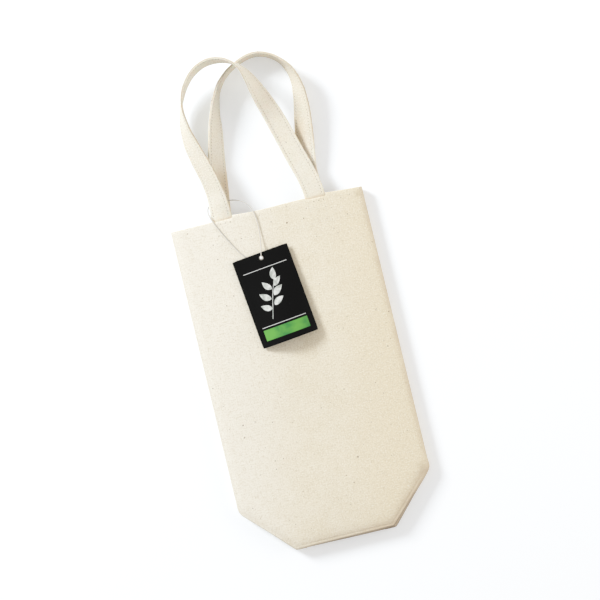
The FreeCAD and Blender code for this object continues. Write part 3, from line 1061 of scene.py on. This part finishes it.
# Plain print on the card: a leaf sprig, a green band near the foot and two pale rules.
cardPrint = dict(
    inkLift=0.33, leafPale=(0.62, 0.63, 0.60, 1), leafGrey=(0.30, 0.32, 0.29, 1),
    green=(0.008, 0.12, 0.035, 1), greenPale=(0.10, 0.30, 0.05, 1), rule=(0.55, 0.55, 0.53, 1),
    leaves=(   # foot of the leaf, direction, length
        (-6.0, -47.0, 150, 11.0), (-4.0, -38.5, 140, 12.0), (-0.5, -30.0, 128, 11.0),
        (-3.0, -44.5, 28, 11.5), (-0.5, -36.0, 35, 12.0), (2.5, -28.0, 42, 10.5), (4.2, -22.5, 78, 11.5),
    ),
    leafHalf=0.24, leafBend=0.05, leafSteps=10, leafForm=(0.8, 0.9, 0.02),
    stem=((-9.0, -56.0), (-6.5, -49.0), (-3.8, -41.0), (-0.5, -32.0), (3.0, -25.0), (4.4, -21.0)),
    stemHalf=0.28, stemLift=0.34,
    reach=21.0, bandSteps=28, band=((-73.5, -63.5),), rules=((-61.4, -60.9), (-9.6, -9.1)),
)


def sprigShape(c, p):
    points, faces, steps = [], [], p["leafSteps"]
    lean, full, least = p["leafForm"]
    for x, y, angle, length in p["leaves"]:
        faces += [turnedOver(quad) for quad in gridFaces(steps + 1, 3, len(points))]
        ahead, aside = math.cos(math.radians(angle)), math.sin(math.radians(angle))
        for i in range(steps + 1):
            t = i / steps
            half = p["leafHalf"] * length * math.sin(math.pi * t ** lean) ** full + least
            for side in (-1, 0, 1):
                out = side * half + p["leafBend"] * length * math.sin(math.pi * t)
                u = x + length * t * ahead - out * aside
                v = y + length * t * aside + out * ahead
                points.append(cardPoint(c, u, v, p["inkLift"]))
    for ends in zip(p["stem"], p["stem"][1:]):
        faces += gridFaces(2, 2, len(points))
        for u, v in ends:
            for s in (-p["stemHalf"], p["stemHalf"]):
                points.append(cardPoint(c, u + s, v, p["stemLift"]))
    return points, faces


def bandShape(c, p, bands):
    points, faces, steps = [], [], p["bandSteps"]
    for band in bands:
        faces += [turnedOver(quad) for quad in gridFaces(steps + 1, 2, len(points))]
        for i in range(steps + 1):
            u = mixed(-p["reach"], p["reach"], i / steps)
            points += [cardPoint(c, u, v, p["inkLift"]) for v in band]
    return points, faces


def addPrint(c, p):
    inks = (
        ("card_print_sprig", sprigShape(c, p), "paleInk", p["leafPale"], p["leafGrey"], 260.0),
        ("card_print_band", bandShape(c, p, p["band"]), "greenInk", p["green"], p["greenPale"], 60.0),
        ("card_print_rules", bandShape(c, p, p["rules"]), "ruleInk", p["rule"], p["leafPale"], 200.0),
    )
    for name, shape, ink, first, second, scale in inks:
        finish = mottled(
            ink, first, second, scale, rough=(0.15, 0.42), detail=3.0, band=(0.3, 0.7), gloss=0.2
        )
        piece = meshPiece(name, *shape, finish)
        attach(piece, "tag")


addPrint(card, cardPrint)
print("card hung")

# Pressed sleeve that joins the two ends of the string under the card.
sleeve = dict(
    x=-14.7, top=262.1, length=6.0, width=3.6, thickness=2.0, z=15.3, rings=15, sides=20, square=0.55,
    endRound=0.35, endLength=0.5, pinch=0.28, dents=((0.28, 0.36, 0.42, 0.50), (0.50, 0.58, 0.64, 0.72)),
    pale=(0.90, 0.90, 0.89, 1), dull=(0.82, 0.82, 0.80, 1),
)


def sleeveMesh(s):
    points = []

    def squared(value):
        return math.copysign(abs(value) ** s["square"], value)

    for i in range(s["rings"]):
        t = i / (s["rings"] - 1)
        end = min(t, 1 - t) * s["length"]
        full = 1 - s["endRound"] * (1 - min(1.0, end / s["endLength"])) ** 2
        dent = sum(smooth(a, b, t) * smooth(d, c, t) for a, b, c, d in s["dents"])
        for k in range(s["sides"]):
            angle = 2 * math.pi * k / s["sides"]
            x = squared(math.cos(angle)) * s["width"] / 2 * full
            z = squared(math.sin(angle)) * s["thickness"] / 2 * full * (1 - s["pinch"] * dent)
            points.append((s["x"] + x, s["top"] - t * s["length"], s["z"] + z))
    return points, ringFaces(s["rings"], s["sides"])


whitePlastic = mottled("whitePlastic", sleeve["pale"], sleeve["dull"], scale=900.0, rough=(0.2, 0.28))
crimpPiece = meshPiece("string_sleeve", *sleeveMesh(sleeve), whitePlastic)
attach(crimpPiece, "bag")
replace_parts(crimpPiece, "string_crimp")

# Knot that stops the string in the punched hole.
knot = dict(
    x=-14.6, y=267.6, z=17.3, wide=1.55, high=0.85, rings=10, sides=18, strands=0.07, windings=(3, 5),
    pale=(0.90, 0.89, 0.87, 1), dull=(0.78, 0.77, 0.74, 1), twist=1100.0,
)


def knotMesh(n):
    points = []
    around, down = n["windings"]
    for i in range(n["rings"]):
        fall = math.pi * (i + 0.5) / n["rings"]
        for k in range(n["sides"]):
            angle = 2 * math.pi * k / n["sides"]
            wound = 1 + n["strands"] * math.cos(around * angle + down * fall)
            reach = n["wide"] * math.sin(fall) * wound
            points.append((
                n["x"] + reach * math.cos(angle), n["y"] + reach * math.sin(angle),
                n["z"] + n["high"] * math.cos(fall),
            ))
    return points, [turnedOver(face) for face in ringFaces(n["rings"], n["sides"])]


knotPiece = meshPiece("string_knot", *knotMesh(knot), spun("knotString", knot))
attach(knotPiece, "bag")

stringPiece.data.materials.append(spun("tagString", stringRun))
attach(stringPiece, "bag")
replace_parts(stringPiece, "tag_string")
tuple(stringSpot(stringRun, stringRun["route"][0]))
print("string tied")

# Pale floor, even sky light, a soft window of light from the upper left and a low warm fill from the right.
studio = dict(
    sky=(0.99, 0.96, 0.935), skyStrength=0.69, aim=(0.0, 0.0, 0.0),
    keyPlace=(-1.36, 1.40, 1.04), keySize=(0.62, 0.62), keyPower=64.0, keyColour=(0.965, 1.015, 1.06),
    fillPlace=(1.60, 0.0, 0.55), fillSize=(1.2, 1.2), fillPower=14.0, fillColour=(1.0, 0.92, 0.83),
    floorSize=6.0, floorHeight=-0.00015, floorColour=(0.91, 0.95, 0.99), floorMottle=0.99, floorCloud=3.0,
    floorRough=0.7, floorGloss=0.1, floorGlow=0.15,
    # camera response: scene light to display light, with a soft shoulder
    white=1.37, shoulder=1.35, curveSteps=12,
)


def addFloor(s):
    mat, tree, surface = shader("paleFloor")
    mottle = tuple(x * s["floorMottle"] for x in s["floorColour"])
    shade = cloud(tree, objectSpot(tree), s["floorCloud"])
    feed(tree, surface, {
        "Base Color": tint(tree, shade, (*s["floorColour"], 1), (*mottle, 1)),
        "Roughness": s["floorRough"], "Specular IOR Level": s["floorGloss"],
        "Emission Color": (1, 1, 1, 1), "Emission Strength": s["floorGlow"],
    })
    mesh = bpy.data.meshes.new("paleFloor")
    half, z = s["floorSize"] / 2, s["floorHeight"]
    corners = ((-half, -half, z), (half, -half, z), (half, half, z), (-half, half, z))
    mesh.from_pydata(corners, [], [(0, 1, 2, 3)])
    mesh.materials.append(mat)
    linkUp(bpy.data.objects.new("paleFloor", mesh))


def addLights(s):
    for role in ("key", "fill"):
        lamp = bpy.data.lights.new(role + "Light", "AREA")
        lamp.shape = "RECTANGLE"
        lamp.size, lamp.size_y = s[role + "Size"]
        lamp.energy, lamp.color = s[role + "Power"], s[role + "Colour"]
        light = linkUp(bpy.data.objects.new(role + "Light", lamp))
        light.location = s[role + "Place"]
        light.rotation_mode = "QUATERNION"
        light.rotation_quaternion = (Vector(s["aim"]) - light.location).to_track_quat("-Z", "Y")
    world = bpy.data.worlds.new("studioSky")
    world.use_nodes = True
    sky = world.node_tree.nodes["Background"]
    sky.inputs["Color"].default_value = (*s["sky"], 1)
    sky.inputs["Strength"].default_value = s["skyStrength"]
    bpy.context.scene.world = world


def setFilm(s):
    film = bpy.context.scene.view_settings
    film.view_transform, film.look = "Standard", "None"
    film.use_curve_mapping = True
    response = film.curve_mapping
    response.white_level = (s["white"],) * 3
    for i in range(1, s["curveSteps"]):
        light = i / s["curveSteps"]
        shown = s["shoulder"] * (1 - math.exp(-light * s["white"]))
        response.curves[3].points.new(light, min(1.0, shown))
    response.update()


addFloor(studio)
addLights(studio)
setFilm(studio)
print("studio lit")
